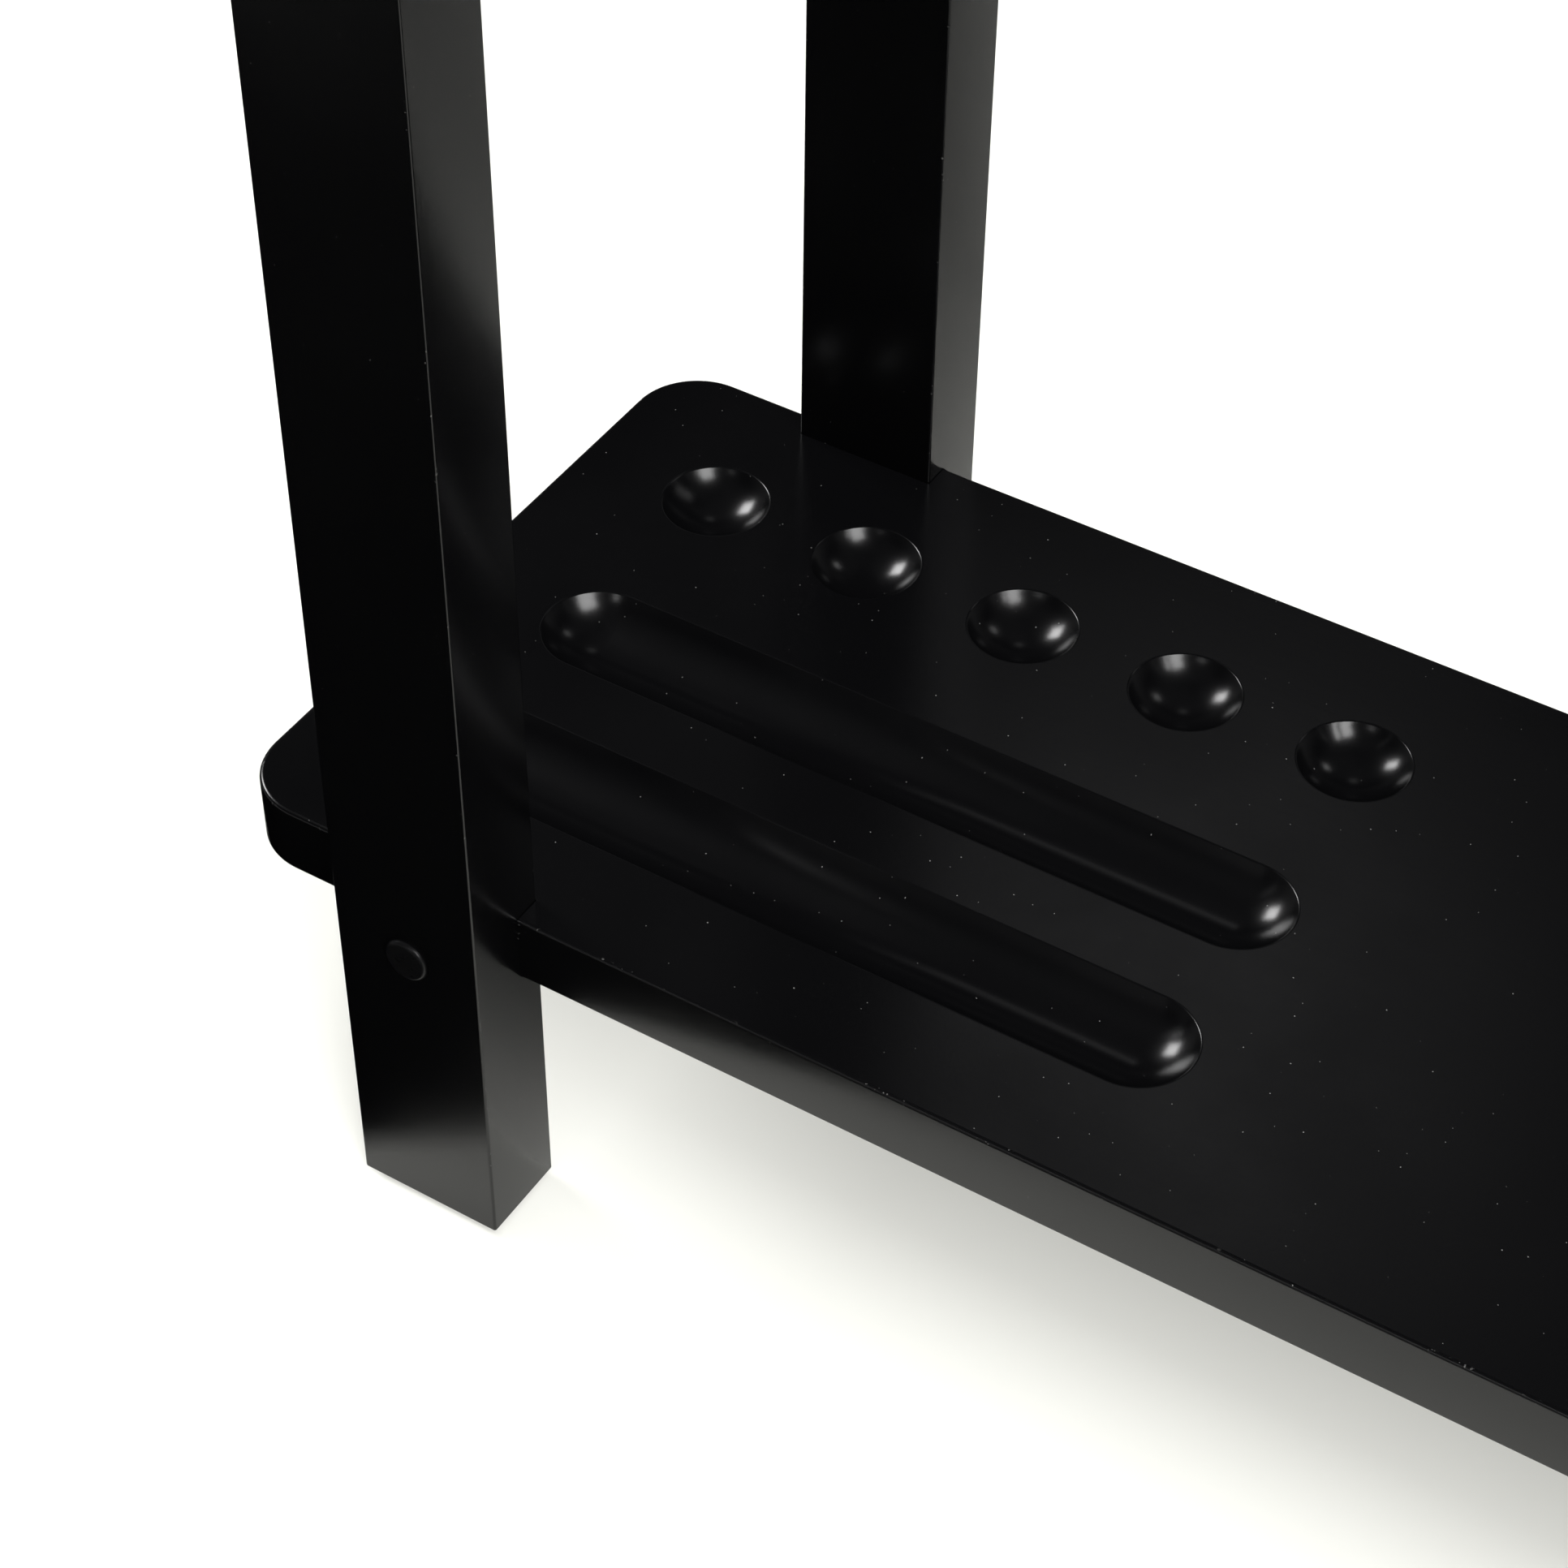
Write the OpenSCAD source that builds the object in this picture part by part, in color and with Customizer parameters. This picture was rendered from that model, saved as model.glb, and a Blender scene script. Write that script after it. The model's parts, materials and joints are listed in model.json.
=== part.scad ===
// Floor-standing cue rack: two lacquered shelves let into four posts and bolted together.
// +X runs along the shelves, +Y to the back, +Z up; the floor is z = 0.

/* [Shelves] */
// Length of both shelves
shelf_length = 720; // [700:10:900]
// Depth of both shelves, front edge to back edge
shelf_depth = 236; // [230:1:260]
// Thickness of both shelves
shelf_thickness = 23; // [22:0.5:28]
// Radius of the rounded shelf corners
corner_radius = 22; // [10:1:30]
// Height of the lower shelf's top face above the floor
lower_top = 118.5; // [90:0.5:200]
// Height of the upper shelf's top face above the floor
upper_top = 732; // [500:1:900]

/* [Posts] */
// Width of a post, along the shelves
post_width = 48; // [40:1:60]
// Depth of a post, front to back
post_depth = 29.5; // [26:0.5:36]
// How far a post sits in its notch in the shelf edge
notch_depth = 9.5; // [5:0.5:12]
// Shelf end to the near side of the post
post_inset = 53.5; // [40:0.5:80]
// Length of post above the upper shelf
post_above = 28; // [0:1:80]

/* [Ball troughs] */
// Overall length of a trough
trough_length = 250; // [240:1:270]
// Width of a trough at the shelf surface
trough_width = 35.2; // [30:0.1:36]
// Shelf front edge to the front trough's middle line
front_trough_row = 53.3; // [52:0.1:60]
// Shelf front edge to the rear trough's middle line
rear_trough_row = 112.9; // [105:0.1:120]
// Radius of the round-nosed cutter that leaves the troughs and the cue cups
cutter_radius = 21; // [20:0.5:25]
// Shelf end to the middle of the troughs and cups on that side
bay_middle = 159.8; // [150:0.1:170]

/* [Cue places] */
// Cue places on each side of the rack
cues_per_side = 5; // [3:1:5]
// Distance between neighbouring cues
cue_pitch = 55.3; // [50:0.1:60]
// Shelf back edge to the row of cues
cue_row = 52.8; // [50:0.1:60]
// Width of a cue cup at the shelf surface
cup_width = 34.1; // [30:0.1:38]
// Diameter of the cue holes in the upper shelf
cue_hole_d = 34; // [32:1:40]

/* [Joint fixings] */
// Diameter of a joint bolt's shank
bolt_d = 6; // [5:1:8]
// Length of a joint bolt below its head
bolt_length = 45; // [44:1:46]
// Diameter of a joint bolt's head
bolt_head_d = 10; // [9:0.5:11]
// Height of a joint bolt's head
bolt_head_h = 6; // [5:0.5:6]
// Hexagon key size of a joint bolt
bolt_key = 5; // [4:0.5:6]
// Diameter of the blind hole that sinks the bolt head into the post
counterbore_d = 12; // [11.5:0.5:13]
// Depth of that hole
counterbore_depth = 12; // [12:0.5:14]
// Thickness of the washer under the bolt head
washer_t = 1.2; // [1:0.1:1.6]
// Diameter of the washer
washer_d = 11.4; // [11:0.1:11.4]
// Diameter of a barrel nut
nut_d = 10; // [8:1:10]
// Length of a barrel nut
nut_length = 14; // [12:1:16]
// Notch floor to the barrel nut's axis
nut_setback = 22; // [20:0.5:22]
// Diameter of a screw cap
cap_d = 14; // [13:0.5:18]
// How far a screw cap stands proud of the post
cap_proud = 1.3; // [0.9:0.1:1.5]
// Depth of the screw cap's plug in the hole
cap_plug = 4; // [3:0.5:4]

/* [Floor glides] */
// Diameter of a floor glide
glide_d = 18; // [14:1:24]
// Height of a floor glide
glide_h = 2.5; // [2:0.5:4]
// Diameter of the glide's tack
tack_d = 3; // [2:0.5:4]
// Length of the glide's tack in the post
tack_length = 12; // [8:1:16]

/* [Hidden] */
CORNERS = [["front_left", -1, 0], ["front_right", 1, 0], ["back_left", -1, 180], ["back_right", 1, 180]];
LEVELS = [["lower", lower_top - shelf_thickness / 2], ["upper", upper_top - shelf_thickness / 2]];

post_x = shelf_length / 2 - post_inset - post_width / 2;
post_face = shelf_depth / 2 - notch_depth + post_depth;
post_top = upper_top + post_above;
bay_x = shelf_length / 2 - bay_middle;
cue_y = shelf_depth / 2 - cue_row;
head_seat = counterbore_depth - washer_t;
nut_axis = post_depth + nut_setback;
bolt_clear = 0.5;
washer_clear = 0.4;
nut_clear = 0.2;
cap_clear = 0.1;
cut = 1;
$fn = 64;

function cue_x(i) = (i - (cues_per_side - 1) / 2) * cue_pitch;

// Places children on one corner's post: the outer post face is towards local -Y.
module at_corner(corner) {
    translate([corner[1] * post_x, 0, 0]) rotate([0, 0, corner[2]]) children();
}

// Places children on the outer post face at a shelf's middle height, +Z pointing into the rack.
module at_joint(corner, level) {
    at_corner(corner) translate([0, -post_face, level[1]]) rotate([-90, 0, 0]) children();
}

// A cylinder from z1 to z2.
module rod(d, z1, z2) {
    translate([0, 0, z1]) cylinder(d = d, h = z2 - z1);
}

module shelf_outline() {
    flat = [shelf_length - 2 * corner_radius, shelf_depth - 2 * corner_radius];
    square([flat[0], shelf_depth], center = true);
    square([shelf_length, flat[1]], center = true);
    for (sx = [-1, 1], sy = [-1, 1])
        translate([sx * flat[0] / 2, sy * flat[1] / 2]) circle(r = corner_radius);
}

// One shelf blank with its post notches, bolt holes and barrel nut holes.
module shelf_blank(level) {
    difference() {
        translate([0, 0, level[1] - shelf_thickness / 2])
            linear_extrude(shelf_thickness) shelf_outline();
        for (c = CORNERS) {
            at_corner(c) translate([-post_width / 2, -post_face, 0]) cube([post_width, post_depth, post_top]);
            at_joint(c, level) {
                rod(bolt_d + bolt_clear, post_depth - cut, head_seat + bolt_length + cut);
                translate([0, 0, nut_axis]) rotate([-90, 0, 0])
                    rod(nut_d + nut_clear, -nut_length / 2, shelf_thickness / 2 + cut);
            }
        }
    }
}

// What the round-nosed cutter takes out at z = 0: a cup, or a trough where its middle runs along X.
module cutter(width, run = 0) {
    rise = sqrt(pow(cutter_radius, 2) - pow(width / 2, 2));
    translate([-run / 2, 0, rise]) {
        for (x = run > 0 ? [0, run] : [0]) translate([x, 0, 0]) sphere(r = cutter_radius);
        if (run > 0) rotate([0, 90, 0]) cylinder(r = cutter_radius, h = run);
    }
}

module lower_shelf() color("#161617") difference() {
    shelf_blank(LEVELS[0]);
    for (side = [-1, 1]) translate([side * bay_x, 0, lower_top]) {
        for (row = [front_trough_row, rear_trough_row])
            translate([0, row - shelf_depth / 2, 0]) cutter(trough_width, trough_length - trough_width);
        for (i = [0 : cues_per_side - 1]) translate([cue_x(i), cue_y, 0]) cutter(cup_width);
    }
}

module upper_shelf() color("#161617") difference() {
    shelf_blank(LEVELS[1]);
    for (side = [-1, 1], i = [0 : cues_per_side - 1])
        translate([side * bay_x + cue_x(i), cue_y, 0]) rod(cue_hole_d, lower_top, upper_top + cut);
}

module post(corner) color("#121213") difference() {
    at_corner(corner) translate([-post_width / 2, -post_face, glide_h])
        cube([post_width, post_depth, post_top - glide_h]);
    for (level = LEVELS) at_joint(corner, level) {
        rod(counterbore_d, -cut, counterbore_depth);
        rod(bolt_d + bolt_clear, 0, post_depth + cut);
    }
    at_corner(corner) translate([0, -post_face + post_depth / 2, 0]) rod(tack_d, 0, glide_h + tack_length);
}

// Socket-head bolt, drawn with its head towards the outside of the post.
module joint_bolt() color("silver") difference() {
    union() {
        rod(bolt_head_d, head_seat - bolt_head_h, head_seat);
        rod(bolt_d, head_seat - cut, head_seat + bolt_length);
    }
    translate([0, 0, head_seat - bolt_head_h - cut])
        cylinder(d = bolt_key / cos(30), h = bolt_head_h / 2 + cut, $fn = 6);
}

module washer() color("gainsboro") difference() {
    rod(washer_d, head_seat, counterbore_depth);
    rod(bolt_d + washer_clear, head_seat - cut, counterbore_depth + cut);
}

// Cross dowel with a screwdriver slot in the end that shows under the shelf.
module barrel_nut() color("goldenrod") translate([0, 0, nut_axis]) difference() {
    rotate([-90, 0, 0]) rod(nut_d, -nut_length / 2, nut_length / 2);
    rod(bolt_d, -nut_d, nut_d);
    translate([-nut_d, nut_length / 2 - 1.5, -0.75]) cube([2 * nut_d, 1.5 + cut, 1.5]);
}

// Press-in cover: a plug and a flat disc with a rounded edge.
module screw_cap() color("#0d0d0e") {
    flat = cap_d / 2 - cap_proud;
    rotate_extrude() {
        translate([0, -cap_proud]) square([flat, cap_proud]);
        intersection() {
            translate([flat, 0]) circle(r = cap_proud);
            translate([0, -cap_proud]) square([cap_d, cap_proud]);
        }
    }
    rod(counterbore_d - cap_clear, 0, cap_plug);
}

module floor_glide() color("#202022") translate([0, -post_face + post_depth / 2, 0]) {
    rotate_extrude() {
        square([glide_d / 2 - 1, glide_h]);
        translate([0, 1]) square([glide_d / 2, glide_h - 1]);
        translate([glide_d / 2 - 1, 1]) circle(r = 1);
    }
    rod(tack_d, 0, glide_h + tack_length);
}

lower_shelf();
upper_shelf();
for (c = CORNERS) {
    post(c);
    at_corner(c) floor_glide();
    for (l = LEVELS) {
        place = str("_", c[0], "_", l[0]);
        at_joint(c, l) joint_bolt();
        at_joint(c, l) washer();
        at_joint(c, l) barrel_nut();
        at_joint(c, l) screw_cap();
    }
}
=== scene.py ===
import json
import math

import bmesh
import bpy
from mathutils import Matrix, Vector


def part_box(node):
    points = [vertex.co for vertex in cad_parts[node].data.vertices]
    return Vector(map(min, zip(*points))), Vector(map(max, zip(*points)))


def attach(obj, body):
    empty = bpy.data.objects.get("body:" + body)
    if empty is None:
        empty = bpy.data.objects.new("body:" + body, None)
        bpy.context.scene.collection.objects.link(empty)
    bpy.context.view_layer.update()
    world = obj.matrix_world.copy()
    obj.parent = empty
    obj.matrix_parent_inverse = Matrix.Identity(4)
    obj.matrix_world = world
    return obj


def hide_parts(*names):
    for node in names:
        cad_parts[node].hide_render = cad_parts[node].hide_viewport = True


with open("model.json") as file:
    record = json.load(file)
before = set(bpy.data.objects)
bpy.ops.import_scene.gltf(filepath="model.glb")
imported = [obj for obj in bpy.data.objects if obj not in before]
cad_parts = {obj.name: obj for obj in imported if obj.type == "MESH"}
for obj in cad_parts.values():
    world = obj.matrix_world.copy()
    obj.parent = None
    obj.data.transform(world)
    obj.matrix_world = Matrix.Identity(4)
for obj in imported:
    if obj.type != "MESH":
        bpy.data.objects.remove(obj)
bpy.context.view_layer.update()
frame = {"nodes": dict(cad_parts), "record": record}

# Floor-standing cue rack in black lacquer. +X runs along the shelves, +Y to the back, +Z up, all in metres.
CORNERS = ("front_left", "front_right", "back_left", "back_right")
LEVELS = ("lower", "upper")
BODY = "root"

# Shelf and post edges.
SHELF_CORNER = 0.022
SHELF_ARRIS = 0.0012
POST_END_CORNER = 0.0009
POST_ARRIS = 0.0008
JOINT_ARRIS = 0.00025
ARRIS_TAPER = 0.0015
ARRIS_STEPS = 5
CORNER_STEPS = 24
POST_CORNER_STEPS = 8

# Hollows cut in the shelves.
CUTTER_RADIUS = 0.021
TROUGH_LENGTH = 0.250
TROUGH_WIDTH = 0.0352
CUP_WIDTH = 0.0341
RIM_ARRIS = 0.0008
RIM_STEPS = 5
HOLLOW_STEPS = 16
ROUND_STEPS = 72

# Joint fixings.
NUT_HOLE_RADIUS = 0.0051
NUT_HOLE_TOP_SKIN = 0.0045
COUNTERBORE_RADIUS = 0.006
COUNTERBORE_DEPTH = 0.012
BOLT_HOLE_RADIUS = 0.00325
HOLE_ARRIS = 0.0003
CAP_LEAD = 0.0003
PLUG_RADIUS = 0.0059
PLUG_LEAD = 0.0004
CAP_EDGE_STEPS = 10
GLIDE_RADIUS = 0.009
GLIDE_HEIGHT = 0.0025
GLIDE_EDGE = 0.001
GLIDE_EDGE_STEPS = 8
TACK_RADIUS = 0.0015
TACK_LENGTH = 0.012
TACK_POINT = 0.002


# ---------------------------------------------------------------- mesh building

WELD_DISTANCE = 1e-7
SHARP_ANGLE = 30


def add_loop(bm, points):
    return [bm.verts.new(p) for p in points]


def bridge(bm, first, second):
    count = len(first)
    for i in range(count):
        j = (i + 1) % count
        bm.faces.new((first[i], first[j], second[j], second[i]))


def skin(bm, loops):
    """Walls through a row of loops with the same number of points."""
    for first, second in zip(loops, loops[1:]):
        bridge(bm, first, second)


def fill_flat(bm, loops, normal):
    """A flat face with holes: the first loop is its outline, the others are its holes."""
    edges = []
    for loop in loops:
        edges += [bm.edges.get((loop[i - 1], loop[i])) for i in range(len(loop))]
    filled = bmesh.ops.triangle_fill(bm, use_beauty=True, edges=edges, normal=normal)
    for item in filled["geom"]:
        if isinstance(item, bmesh.types.BMFace):
            item.smooth = False


def arc(centre, radius, start, turn, steps):
    """Points of an arc in a plane, angles in degrees, both ends included."""
    angles = [math.radians(start + turn * i / steps) for i in range(steps + 1)]
    return [(centre[0] + radius * math.cos(a), centre[1] + radius * math.sin(a)) for a in angles]


def round_loop(bm, centre, run, radius, level):
    """A circle at a level, or a round-ended slot where its middle runs along X."""
    if run == 0:
        points = arc(centre, radius, 0, 360, ROUND_STEPS)[:-1]
    else:
        half = ROUND_STEPS // 2
        right = (centre[0] + run / 2, centre[1])
        left = (centre[0] - run / 2, centre[1])
        points = arc(right, radius, -90, 180, half) + arc(left, radius, 90, 180, half)
    return add_loop(bm, [(x, y, level) for x, y in points])


def outward(points):
    """The mitred outward direction at each corner of an anticlockwise outline."""
    result = []
    count = len(points)
    for i in range(count):
        before = (points[i] - points[i - 1]).normalized()
        after = (points[(i + 1) % count] - points[i]).normalized()
        first = Vector((before.y, -before.x))
        second = Vector((after.y, -after.x))
        result.append((first + second) / (1 + first.dot(second)))
    return result


def board_walls(bm, outline, bottom, top):
    """Walls of a board with eased arrises; outline is (x, y, arris radius). Returns the bottom and top loops."""
    points = [Vector((x, y)) for x, y, _ in outline]
    normals = outward(points)
    wear = bm.verts.layers.float["wear"]
    turns = [math.pi / 2 * i / ARRIS_STEPS for i in range(ARRIS_STEPS + 1)]
    loops = []
    for end, side, order in ((bottom, 1, turns), (top, -1, turns[::-1])):
        for turn in order:
            ring = []
            for point, normal, (_, _, arris) in zip(points, normals, outline):
                place = point - normal * arris * (1 - math.sin(turn))
                ring.append((place.x, place.y, end + side * arris * (1 - math.cos(turn))))
            loop = add_loop(bm, ring)
            for vert, (_, _, arris) in zip(loop, outline):
                vert[wear] = 1.0 if arris == JOINT_ARRIS and turn > 0 else math.sin(2 * turn)
            loops.append(loop)
    skin(bm, loops)
    return loops[0], loops[-1]


def hollow(bm, centre, run, profile):
    """A hollow or hole from a profile of (radius, level), rim first. Returns its first and last loops."""
    loops = [round_loop(bm, centre, run, radius, level) for radius, level in profile]
    skin(bm, loops)
    return loops[0], loops[-1]


def cut_profile(width, top):
    """What the round-nosed cutter leaves: an eased rim, then a round bottom."""
    rise = math.sqrt(CUTTER_RADIUS ** 2 - (width / 2) ** 2)
    reach = CUTTER_RADIUS + RIM_ARRIS
    lean = math.acos((rise + RIM_ARRIS) / reach)
    profile = []
    for i in range(RIM_STEPS):
        turn = lean * i / RIM_STEPS
        profile.append((reach * math.sin(lean) - RIM_ARRIS * math.sin(turn), top - RIM_ARRIS * (1 - math.cos(turn))))
    for i in range(HOLLOW_STEPS + 1):
        turn = lean * (1 - i / HOLLOW_STEPS)
        profile.append((CUTTER_RADIUS * math.sin(turn), top + rise - CUTTER_RADIUS * math.cos(turn)))
    return profile


def through_profile(radius, bottom, top):
    """A hole from top to bottom with both rims eased."""
    profile = []
    for end, side, first in ((top, -1, 0), (bottom, 1, RIM_STEPS)):
        for i in range(RIM_STEPS + 1):
            turn = math.pi / 2 * abs(first - i) / RIM_STEPS
            profile.append((radius + RIM_ARRIS * (1 - math.sin(turn)), end + side * RIM_ARRIS * (1 - math.cos(turn))))
    return profile


def new_bmesh():
    bm = bmesh.new()
    bm.verts.layers.float.new("wear")
    return bm


def finish_piece(name, bm, nodes, material, placing=Matrix.Identity(4)):
    """Turns a bmesh into a piece of the rack that stands for CAD nodes."""
    bmesh.ops.remove_doubles(bm, verts=bm.verts, dist=WELD_DISTANCE)
    bmesh.ops.recalc_face_normals(bm, faces=bm.faces)
    bm.transform(placing)
    mesh = bpy.data.meshes.new(name)
    smooth = [face.smooth for face in bm.faces]
    bm.to_mesh(mesh)
    bm.free()
    mesh.set_sharp_from_angle(angle=math.radians(SHARP_ANGLE))
    mesh.polygons.foreach_set("use_smooth", smooth)
    mesh.materials.append(material)
    piece = bpy.data.objects.new(name, mesh)
    bpy.context.scene.collection.objects.link(piece)
    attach(piece, BODY)
    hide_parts(*nodes)
    return piece


def lathe(profile):
    """A solid of revolution about Z from a profile of (radius, height) that starts and ends on the axis."""
    bm = new_bmesh()
    skin(bm, [round_loop(bm, (0, 0), 0, radius, height) for radius, height in profile])
    for face in bm.faces:
        face.smooth = True
    return bm


# ---------------------------------------------------------------- shelves

def half_outline(low, high):
    """A shelf's front edge with its two rounded corners and its post notches, left to right."""
    left = arc((low.x + SHELF_CORNER, low.y + SHELF_CORNER), SHELF_CORNER, 180, 90, CORNER_STEPS)
    right = arc((high.x - SHELF_CORNER, low.y + SHELF_CORNER), SHELF_CORNER, 270, 90, CORNER_STEPS)
    outline = [(x, y, SHELF_ARRIS) for x, y in left]
    for corner in ("front_left", "front_right"):
        post_low, post_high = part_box(corner + "_post")
        outline += [
            (post_low.x - ARRIS_TAPER, low.y, SHELF_ARRIS),
            (post_low.x, low.y, JOINT_ARRIS),
            (post_low.x, post_high.y, JOINT_ARRIS),
            (post_high.x, post_high.y, JOINT_ARRIS),
            (post_high.x, low.y, JOINT_ARRIS),
            (post_high.x + ARRIS_TAPER, low.y, SHELF_ARRIS),
        ]
    return outline + [(x, y, SHELF_ARRIS) for x, y in right]


def nut_holes(bm, level, bottom, top):
    """The blind holes for the barrel nuts, from the underside."""
    rims = []
    for corner in CORNERS:
        nut_low, nut_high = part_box(f"barrel_nut_{corner}_{level}")
        centre = (nut_low + nut_high) / 2
        profile = [
            (NUT_HOLE_RADIUS + HOLE_ARRIS, bottom),
            (NUT_HOLE_RADIUS, bottom + HOLE_ARRIS),
            (NUT_HOLE_RADIUS, top - NUT_HOLE_TOP_SKIN),
            (0, top - NUT_HOLE_TOP_SKIN),
        ]
        rims.append(hollow(bm, centre.xy, 0, profile)[0])
    return rims


def make_shelf(level, material):
    low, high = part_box(level + "_shelf")
    bm = new_bmesh()
    half = half_outline(low, high)
    under, over = board_walls(bm, half + [(-x, -y, arris) for x, y, arris in half], low.z, high.z)
    top_rims = []
    bottom_rims = nut_holes(bm, level, low.z, high.z)
    for mount in frame["record"]["mounts"]:
        if not mount["name"].startswith("cue_hole"):
            continue
        place = mount["pos_m"][:2]
        if level == "lower":
            top_rims.append(hollow(bm, place, 0, cut_profile(CUP_WIDTH, high.z))[0])
        else:
            radius = mount["dims"]["r_mm"] / 1000
            rims = hollow(bm, place, 0, through_profile(radius, low.z, high.z))
            top_rims.append(rims[0])
            bottom_rims.append(rims[1])
    if level == "lower":
        for opening in frame["record"]["physics"]["openings"]:
            if opening["name"].endswith("trough"):
                place = (Vector(opening["box_m"][0]) + Vector(opening["box_m"][1])) / 2
                run = TROUGH_LENGTH - TROUGH_WIDTH
                top_rims.append(hollow(bm, place.xy, run, cut_profile(TROUGH_WIDTH, high.z))[0])
    for face in bm.faces:
        face.smooth = True
    fill_flat(bm, [over] + top_rims, (0, 0, 1))
    fill_flat(bm, [under] + bottom_rims, (0, 0, -1))
    name = level + "_shelf"
    finish_piece("lacquered_" + name, bm, [name], material)


# ---------------------------------------------------------------- posts and their fittings

def outward_placing(corner, centre):
    """Turns local +Z to the post's outer face and keeps local +Y up, with the origin at centre."""
    side = -1 if corner.startswith("front") else 1
    turn = Matrix(((-side, 0, 0), (0, 0, side), (0, 1, 0))).to_4x4()
    return Matrix.Translation(centre) @ turn


def make_post(corner, material):
    low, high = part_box(corner + "_post")
    centre = (low + high) / 2
    half = (high - low) / 2
    bm = new_bmesh()
    outline = []
    for sx, sy, start in ((-1, -1, 180), (1, -1, 270), (1, 1, 0), (-1, 1, 90)):
        middle = (sx * (half.x - POST_END_CORNER), sy * (half.z - POST_END_CORNER))
        outline += [(x, y, POST_ARRIS) for x, y in arc(middle, POST_END_CORNER, start, 90, POST_CORNER_STEPS)]
    inner, outer = board_walls(bm, outline, -half.y, half.y)
    outer_rims = []
    inner_rims = []
    for level in LEVELS:
        cap_low, cap_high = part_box(f"screw_cap_{corner}_{level}")
        profile = [
            (COUNTERBORE_RADIUS + HOLE_ARRIS, half.y),
            (COUNTERBORE_RADIUS, half.y - HOLE_ARRIS),
            (COUNTERBORE_RADIUS, half.y - COUNTERBORE_DEPTH),
            (BOLT_HOLE_RADIUS, half.y - COUNTERBORE_DEPTH),
            (BOLT_HOLE_RADIUS, HOLE_ARRIS - half.y),
            (BOLT_HOLE_RADIUS + HOLE_ARRIS, -half.y),
        ]
        place = (0, (cap_low.z + cap_high.z) / 2 - centre.z)
        rims = hollow(bm, place, 0, profile)
        outer_rims.append(rims[0])
        inner_rims.append(rims[1])
    for face in bm.faces:
        face.smooth = True
    fill_flat(bm, [outer] + outer_rims, (0, 0, 1))
    fill_flat(bm, [inner] + inner_rims, (0, 0, -1))
    name = corner + "_post"
    finish_piece("lacquered_" + name, bm, [name], material, outward_placing(corner, centre))


def make_cap(corner, level, material):
    """A press-in cover: a plug and a flat disc with a rounded edge."""
    name = f"screw_cap_{corner}_{level}"
    cap_low, cap_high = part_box(name)
    post_low, post_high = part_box(corner + "_post")
    centre = (cap_low + cap_high) / 2
    radius = (cap_high.x - cap_low.x) / 2
    if corner.startswith("front"):
        centre.y = post_low.y
        proud = post_low.y - cap_low.y
    else:
        centre.y = post_high.y
        proud = cap_high.y - post_high.y
    depth = cap_high.y - cap_low.y - proud
    flat = radius - proud
    profile = [(0, proud), (flat - CAP_LEAD, proud)]
    profile += arc((flat, 0), proud, 90, -90, CAP_EDGE_STEPS)
    profile += [(PLUG_RADIUS, 0), (PLUG_RADIUS, PLUG_LEAD - depth), (PLUG_RADIUS - PLUG_LEAD, -depth), (0, -depth)]
    finish_piece("moulded_" + name, lathe(profile), [name], material, outward_placing(corner, centre))


def make_glide(corner, material):
    """A nail-on glide: a disc with a rounded lower edge, and its tack."""
    name = "floor_glide_" + corner
    low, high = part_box(name)
    profile = [(0, 0)]
    profile += arc((GLIDE_RADIUS - GLIDE_EDGE, GLIDE_EDGE), GLIDE_EDGE, 270, 90, GLIDE_EDGE_STEPS)
    profile += [(GLIDE_RADIUS, GLIDE_HEIGHT - HOLE_ARRIS), (GLIDE_RADIUS - HOLE_ARRIS, GLIDE_HEIGHT)]
    profile += [(TACK_RADIUS, GLIDE_HEIGHT), (TACK_RADIUS, GLIDE_HEIGHT + TACK_LENGTH - TACK_POINT)]
    profile += [(0, GLIDE_HEIGHT + TACK_LENGTH)]
    centre = (low + high) / 2
    centre.z = low.z
    finish_piece("moulded_" + name, lathe(profile), [name], material, Matrix.Translation(centre))


# ---------------------------------------------------------------- materials

# Lacquer: noise frequencies in cycles a metre along each axis, bump heights in metres.
GRAIN_ALONG_X = (5, 420, 420)
GRAIN_ALONG_Z = (420, 420, 5)
STROKE_HEIGHT = 0.000006
WAVE_SCALE = (28, 28, 28)
WAVE_HEIGHT = 0.00003
PEEL_SCALE = (1100, 1100, 1100)
PEEL_HEIGHT = 0.000006
SMUDGE_SCALE = (16, 16, 16)
LACQUER_ROUGHNESS = (0.19, 0.25)
LACQUER_COLOUR = (0.0014, 0.0014, 0.0016)
DUST_COLOUR = (0.26, 0.26, 0.25)
# Dust: cells a metre, the chance above which a cell holds a speck, and the largest speck in cells.
DUST_CELLS = 150.0
DUST_CHANCE = 0.78
DUST_SIZE = 0.03
CHIP_SCALE = (900, 900, 900)
PATCH_SCALE = (60, 60, 60)


def add(tree, kind, inputs=None, **attributes):
    """A new node with its attributes and inputs set; an input given as a socket is linked."""
    node = tree.nodes.new("ShaderNode" + kind)
    for key, value in attributes.items():
        setattr(node, key, value)
    for key, value in (inputs or {}).items():
        if isinstance(value, bpy.types.NodeSocket):
            tree.links.new(value, node.inputs[key])
        else:
            node.inputs[key].default_value = value
    return node


def maths(tree, operation, *values):
    node = add(tree, "Math", dict(enumerate(values)), operation=operation)
    return node.outputs[0]


def spread(tree, value, low, high, to_low, to_high):
    """A value from low to high, mapped and held to to_low to to_high."""
    inputs = {"Value": value, "From Min": low, "From Max": high, "To Min": to_low, "To Max": to_high}
    return add(tree, "MapRange", inputs).outputs["Result"]


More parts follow.
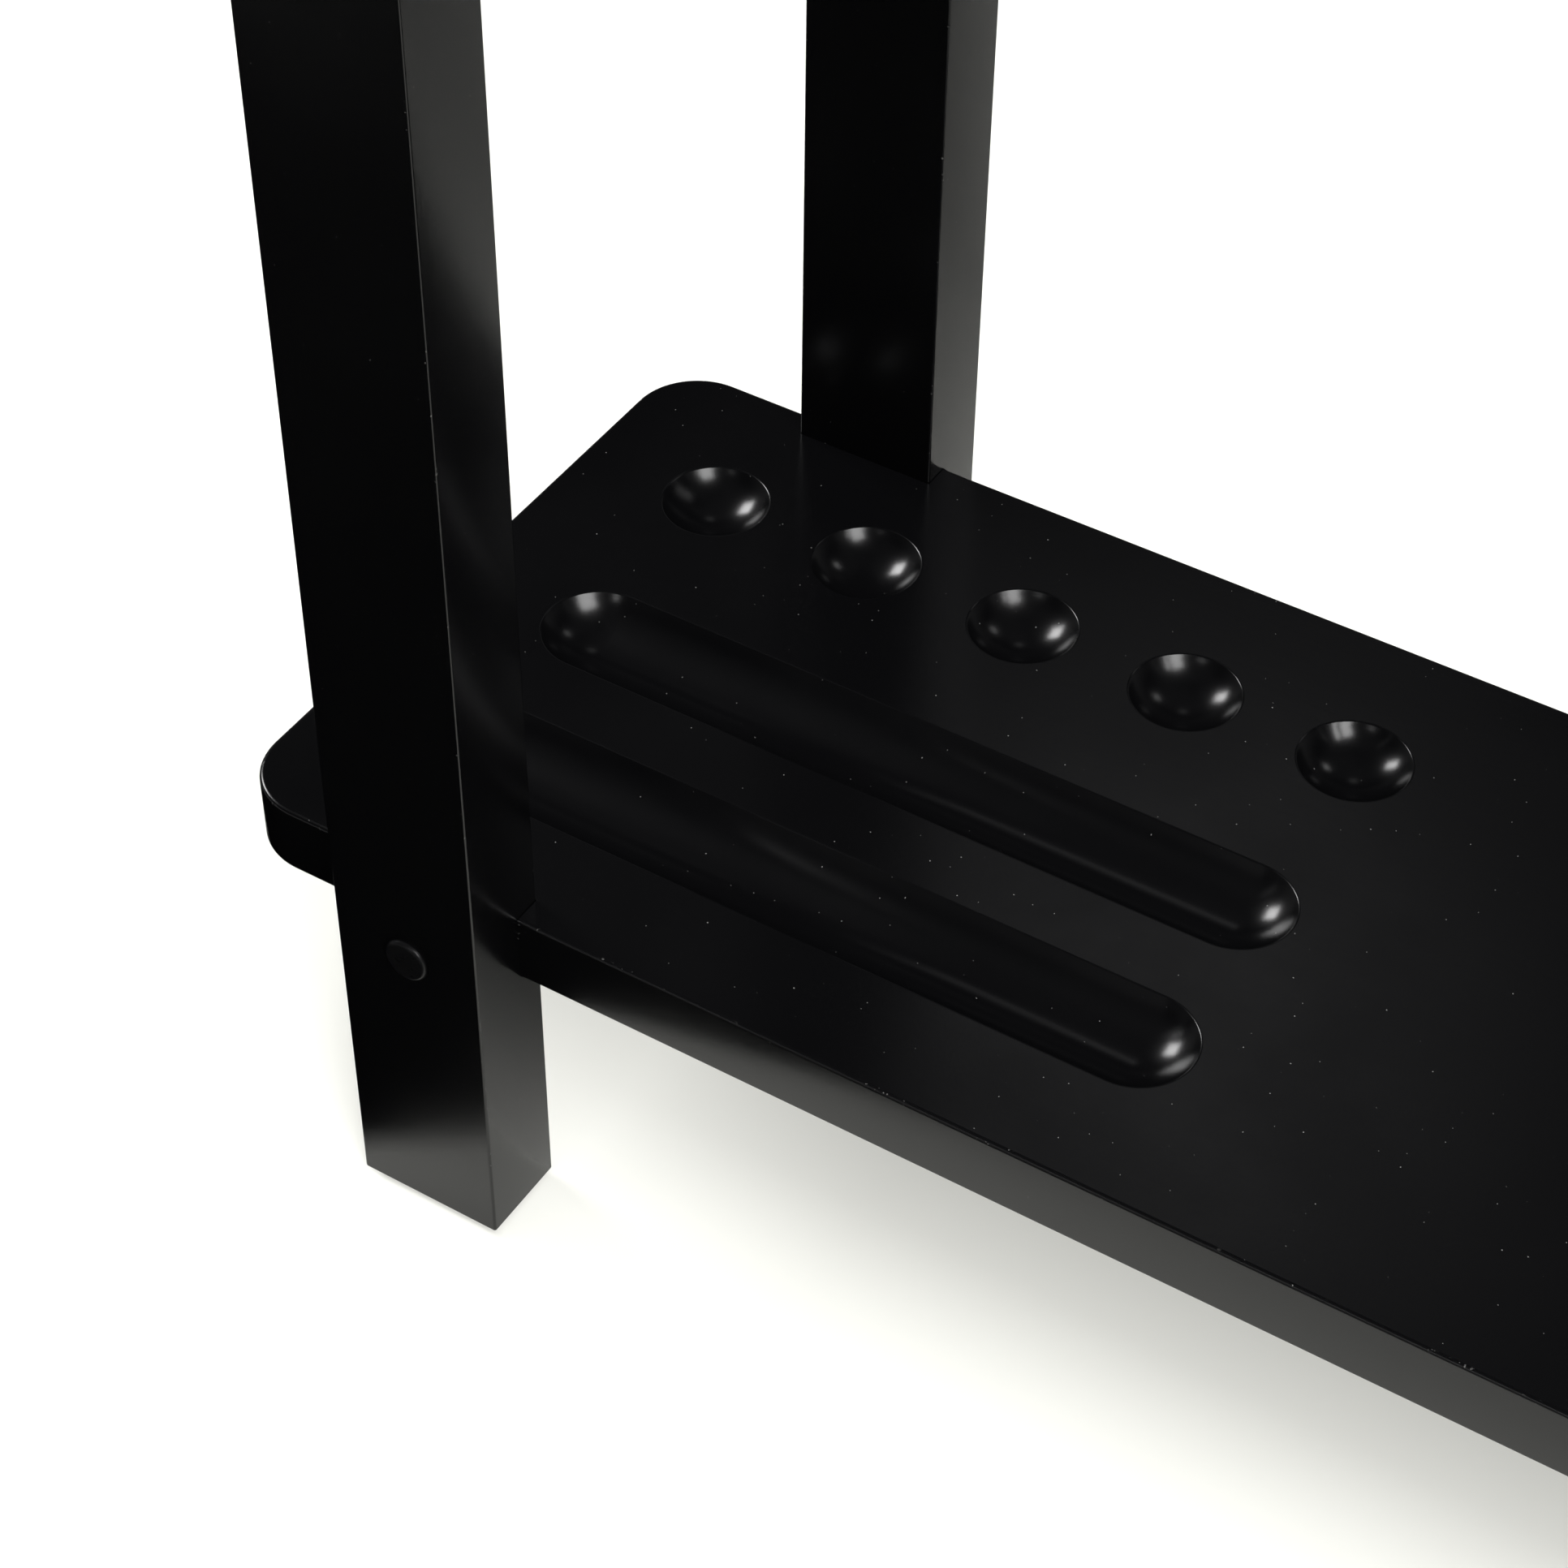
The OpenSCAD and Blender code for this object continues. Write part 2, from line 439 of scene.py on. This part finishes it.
def stretched_noise(tree, place, scale, detail=2.0, rough=0.5):
    """Noise with its own frequency along each axis, in cycles a metre."""
    vector = add(tree, "VectorMath", {0: place, 1: scale}, operation="MULTIPLY").outputs[0]
    inputs = {"Vector": vector, "Scale": 1.0, "Detail": detail, "Roughness": rough}
    return add(tree, "TexNoise", inputs).outputs["Fac"]


def new_material(name):
    material = bpy.data.materials.new(name)
    material.use_nodes = True
    tree = material.node_tree
    place = add(tree, "TexCoord").outputs["Object"]
    return material, tree, tree.nodes["Principled BSDF"], place


def bumped(tree, height, distance, normal=None):
    inputs = {"Height": height, "Distance": distance, "Strength": 1.0}
    if normal is not None:
        inputs["Normal"] = normal
    return add(tree, "Bump", inputs).outputs["Normal"]


def mix_colours(tree, factor, first, second, shader):
    """Gives a shader a base colour between two colours."""
    mix = add(tree, "Mix", {0: factor, 6: (*first, 1), 7: (*second, 1)}, data_type="RGBA")
    tree.links.new(mix.outputs[2], shader.inputs["Base Color"])


def surface_plane(tree, place):
    """Coordinates that lie flat on the top faces and on the upright faces alike, and which of the two it is."""
    normal = add(tree, "NewGeometry").outputs["Normal"]
    up = add(tree, "SeparateXYZ", {0: normal}).outputs["Z"]
    facing_up = maths(tree, "GREATER_THAN", maths(tree, "ABSOLUTE", up), 0.7)
    part = add(tree, "SeparateXYZ", {0: place}).outputs
    flat = add(tree, "CombineXYZ", {"X": part["X"], "Y": part["Y"]}).outputs[0]
    along = maths(tree, "ADD", part["X"], part["Y"])
    upright = add(tree, "CombineXYZ", {"X": along, "Y": part["Z"]}).outputs[0]
    mix = add(tree, "Mix", {"Factor": facing_up, "A": upright, "B": flat}, data_type="VECTOR")
    return mix.outputs["Result"], facing_up


def lacquer(name, grain):
    """Sprayed black lacquer: fine orange peel, faint strokes along the grain, smudges, dust and edge wear."""
    material, tree, shader, place = new_material(name)
    plane, facing_up = surface_plane(tree, place)
    smudge = stretched_noise(tree, place, SMUDGE_SCALE, 5.0, 0.6)
    strokes = stretched_noise(tree, place, grain, 3.0, 0.6)
    peel = stretched_noise(tree, place, PEEL_SCALE, 1.0)
    wave = stretched_noise(tree, place, WAVE_SCALE, 1.0)
    normal = bumped(tree, wave, WAVE_HEIGHT)
    normal = bumped(tree, strokes, STROKE_HEIGHT, normal)
    normal = bumped(tree, peel, PEEL_HEIGHT, normal)
    tree.links.new(normal, shader.inputs["Normal"])
    cells = {"Vector": plane, "Scale": DUST_CELLS, "Randomness": 1.0}
    specks = add(tree, "TexVoronoi", cells, voronoi_dimensions="2D")
    chance = add(tree, "SeparateColor", {0: specks.outputs["Color"]}).outputs[0]
    size = spread(tree, chance, DUST_CHANCE, 1.0, 0.0, DUST_SIZE)
    size = maths(tree, "MULTIPLY", size, spread(tree, facing_up, 0.0, 1.0, 0.5, 1.0))
    dust = maths(tree, "LESS_THAN", specks.outputs["Distance"], size)
    wear = add(tree, "Attribute", attribute_name="wear").outputs["Fac"]
    chips = stretched_noise(tree, place, CHIP_SCALE, 2.0)
    patches = stretched_noise(tree, place, PATCH_SCALE, 2.0)
    rubbed = maths(tree, "MULTIPLY", wear, spread(tree, chips, 0.66, 0.70, 0.0, 1.0))
    rubbed = maths(tree, "MULTIPLY", rubbed, spread(tree, patches, 0.5, 0.6, 0.0, 1.0))
    mark = maths(tree, "MAXIMUM", maths(tree, "MULTIPLY", dust, 0.6), maths(tree, "MULTIPLY", rubbed, 0.45))
    mix_colours(tree, mark, LACQUER_COLOUR, DUST_COLOUR, shader)
    rough = spread(tree, smudge, 0.3, 0.7, *LACQUER_ROUGHNESS)
    rough = maths(tree, "ADD", rough, maths(tree, "MULTIPLY", mark, 0.4))
    tree.links.new(rough, shader.inputs["Roughness"])
    shader.inputs["IOR"].default_value = 1.5
    return material


def moulded_plastic(name, colour, rough_low, rough_high, specular):
    """Injection-moulded plastic: fine spark texture and a little uneven gloss."""
    material, tree, shader, place = new_material(name)
    grain = stretched_noise(tree, place, (2600, 2600, 2600), 2.0)
    gloss = stretched_noise(tree, place, (300, 300, 300), 3.0)
    shader.inputs["Specular IOR Level"].default_value = specular
    tree.links.new(bumped(tree, grain, 0.000006), shader.inputs["Normal"])
    tree.links.new(spread(tree, gloss, 0.3, 0.7, rough_low, rough_high), shader.inputs["Roughness"])
    mix_colours(tree, gloss, colour, [c * 1.6 for c in colour], shader)
    return material


def zinc_steel(name):
    """Bright zinc plate over turned steel."""
    material, tree, shader, place = new_material(name)
    tint = stretched_noise(tree, place, (220, 220, 220), 3.0)
    turned = stretched_noise(tree, place, (700, 4000, 700), 2.0)
    tree.links.new(bumped(tree, turned, 0.000004), shader.inputs["Normal"])
    tree.links.new(spread(tree, tint, 0.3, 0.7, 0.24, 0.38), shader.inputs["Roughness"])
    mix_colours(tree, spread(tree, tint, 0.35, 0.65, 0.0, 1.0), (0.60, 0.62, 0.66), (0.67, 0.66, 0.60), shader)
    shader.inputs["Metallic"].default_value = 1.0
    return material


# ---------------------------------------------------------------- studio

TARGET = Vector((-0.17, 0.0, 0.12))
LIGHT_DISTANCE = 6.0
# Softboxes: name, direction from the rack, width as seen from the rack in degrees, power in watts.
SOFTBOXES = (
    ("key", (0.657, -0.415, 0.63), 28, 234),
    ("left", (-0.82, 0.11, 0.56), 17, 144),
    ("back", (0.346, 0.675, 0.652), 8, 5.4),
    ("front", (-0.013, -0.868, 0.496), 10, 18),
)
FILL_SIZE = 2.6
FILL_HEIGHT = 2.4
FILL_POWER = 100
FLOOR_COLOUR = (0.85, 0.85, 0.80, 1)
FLOOR_REACH = 8.0
FLOOR_DEPTH = -0.0002
# Distances from the rack between which the floor turns evenly white.
FLOOR_WHITE_FROM = 1.1
FLOOR_WHITE_TO = 1.9
# The direction of the faint patch of light overhead.
PATCH_DIRECTION = (-0.258, 0.626, 0.736)


def make_softbox(name, direction, width, power):
    light = bpy.data.lights.new(name, "AREA")
    light.shape = "SQUARE"
    light.size = 2 * LIGHT_DISTANCE * math.tan(math.radians(width / 2))
    light.energy = power
    box = bpy.data.objects.new(name, light)
    away = Vector(direction).normalized()
    box.location = TARGET + away * LIGHT_DISTANCE
    box.rotation_euler = away.to_track_quat("Z", "Y").to_euler()
    box.visible_camera = False
    bpy.context.scene.collection.objects.link(box)


def make_fill():
    """Broad shadowless light from overhead that brightens the floor without showing in the lacquer."""
    light = bpy.data.lights.new("fill", "AREA")
    light.shape = "SQUARE"
    light.size = FILL_SIZE
    light.energy = FILL_POWER
    light.use_shadow = False
    box = bpy.data.objects.new("fill", light)
    box.location = (0, 0, FILL_HEIGHT)
    box.visible_camera = False
    box.visible_glossy = False
    bpy.context.scene.collection.objects.link(box)


def make_world():
    """Dim room with a faint glow low down and one faint patch overhead, and a plain white backdrop."""
    world = bpy.data.worlds.new("studio")
    bpy.context.scene.world = world
    world.use_nodes = True
    tree = world.node_tree
    tree.nodes.clear()
    direction = add(tree, "TexCoord").outputs["Generated"]
    patch = add(tree, "VectorMath", {0: direction, 1: PATCH_DIRECTION}, operation="DOT_PRODUCT")
    height = add(tree, "SeparateXYZ", {0: direction}).outputs["Z"]
    ceiling = spread(tree, height, 0.60, 0.80, 0.0, 0.03)
    low = spread(tree, height, 0.0, 0.5, 0.14, 0.0)
    spot = spread(tree, patch.outputs["Value"], 0.995, 1.0, 0.0, 0.55)
    glow = maths(tree, "ADD", maths(tree, "ADD", ceiling, low), spot)
    seen = add(tree, "LightPath").outputs["Is Camera Ray"]
    room = add(tree, "Background", {"Color": (1, 1, 1, 1), "Strength": glow})
    backdrop = add(tree, "Background", {"Color": (1, 1, 1, 1), "Strength": 1.0})
    mix = add(tree, "MixShader", {0: seen, 1: room.outputs[0], 2: backdrop.outputs[0]})
    out = add(tree, "OutputWorld")
    tree.links.new(mix.outputs[0], out.inputs["Surface"])


def stage_mesh(name, points, faces, material):
    mesh = bpy.data.meshes.new(name)
    mesh.from_pydata(points, [], faces)
    mesh.materials.append(material)
    thing = bpy.data.objects.new(name, mesh)
    bpy.context.scene.collection.objects.link(thing)
    return thing


def make_floor():
    """A pale matt floor that turns evenly white away from the rack."""
    material, tree, shader, place = new_material("floor")
    shader.inputs["Base Color"].default_value = FLOOR_COLOUR
    shader.inputs["Roughness"].default_value = 0.9
    distance = add(tree, "VectorMath", {0: place}, operation="LENGTH").outputs["Value"]
    white = add(tree, "Emission", {"Color": (1, 1, 1, 1), "Strength": 1.0}).outputs[0]
    fade = spread(tree, distance, FLOOR_WHITE_FROM, FLOOR_WHITE_TO, 0.0, 1.0)
    mix = add(tree, "MixShader", {0: fade, 1: shader.outputs[0], 2: white})
    tree.links.new(mix.outputs[0], tree.nodes["Material Output"].inputs["Surface"])
    corners = [(x * FLOOR_REACH, y * FLOOR_REACH, FLOOR_DEPTH) for x, y in ((-1, -1), (1, -1), (1, 1), (-1, 1))]
    stage_mesh("floor", corners, [(0, 1, 2, 3)], material)


def make_shade_card(name, height, strength, clear_edge, *dark_edges):
    """A dark card on the floor, seen only in reflections, that paints shade into what the lacquer mirrors, fading in
    from its clear edge to the next one.
    """
    material, tree, shader, _ = new_material(name)
    tree.nodes.remove(shader)
    fade = add(tree, "Attribute", attribute_name="fade").outputs["Fac"]
    dark = add(tree, "BsdfDiffuse", {"Color": (0.0, 0.0, 0.0, 1)}).outputs[0]
    clear = add(tree, "BsdfTransparent").outputs[0]
    mix = add(tree, "MixShader", {0: fade, 1: clear, 2: dark})
    tree.links.new(mix.outputs[0], tree.nodes["Material Output"].inputs["Surface"])
    points = [(x, y, height) for edge in (clear_edge, *dark_edges) for x, y in edge]
    faces = [(2 * i, 2 * i + 1, 2 * i + 3, 2 * i + 2) for i in range(len(dark_edges))]
    card = stage_mesh(name, points, faces, material)
    values = card.data.attributes.new("fade", "FLOAT", "POINT")
    values.data.foreach_set("value", [0.0] * 2 + [strength] * (2 * len(dark_edges)))
    card.visible_camera = False
    card.visible_diffuse = False
    card.visible_shadow = False


def across(y):
    """A card's edge from left to right at y."""
    return [(-2.5, y), (2.5, y)]


def make_shade_cards():
    """Cards for what the lacquer mirrors, all painted shade seen only in reflections: a dimming of all the floor, a
    dark patch at its front left, a shadow under the lower shelf, and shade behind it.
    """
    front_clear = [(-1.0, 0.342), (0.6, -0.783)]
    front_dark = [(-1.006, 0.334), (0.594, -0.791)]
    front_far = [(-1.6, -0.3), (0.0, -1.6)]
    make_shade_card("painted_floor_dimming", 0.0004, 0.33, across(-3.0), across(-2.5), across(2.5))
    make_shade_card("painted_dark_front_left", 0.0007, 1.0, front_clear, front_dark, front_far)
    # Painted shadow under the lower shelf, seen only in reflections, where the shadowless fill leaves none.
    make_shade_card("painted_shadow_under_shelf", 0.0010, 0.62, across(-0.108), across(-0.05), across(0.13))
    make_shade_card("painted_shade_behind", 0.0013, 0.62, across(0.13), across(0.36), across(1.6))


def make_camera():
    camera = bpy.data.cameras.new("camera")
    camera.sensor_width = 36.0
    camera.lens = 81.19
    view = bpy.data.objects.new("camera", camera)
    view.location = (0.16024, -0.65723, 0.82767)
    view.rotation_euler = [math.radians(a) for a in (45.9927, -0.3780, 31.9910)]
    bpy.context.scene.collection.objects.link(view)
    bpy.context.scene.camera = view
    bpy.context.scene.view_settings.view_transform = "Standard"


# ---------------------------------------------------------------- assembly

shelf_lacquer = lacquer("shelf_lacquer", GRAIN_ALONG_X)
post_lacquer = lacquer("post_lacquer", GRAIN_ALONG_Z)
cap_plastic = moulded_plastic("cap_plastic", (0.0022, 0.0022, 0.0024), 0.26, 0.34, 0.2)
glide_plastic = moulded_plastic("glide_plastic", (0.014, 0.014, 0.015), 0.45, 0.6, 0.5)
zinc = zinc_steel("zinc_steel")

for level in LEVELS:
    make_shelf(level, shelf_lacquer)
for corner in CORNERS:
    make_post(corner, post_lacquer)
    make_glide(corner, glide_plastic)
    for level in LEVELS:
        make_cap(corner, level, cap_plastic)
for name, node in frame["nodes"].items():
    if name.startswith(("joint_bolt", "washer", "barrel_nut")):
        for slot in node.material_slots:
            slot.material = zinc

# One mirror reflection only: a second one, off a face at a right angle, hardly shows in the real lacquer.
bpy.context.scene.cycles.glossy_bounces = 1
make_world()
make_floor()
make_shade_cards()
for softbox in SOFTBOXES:
    make_softbox(*softbox)
make_fill()
make_camera()
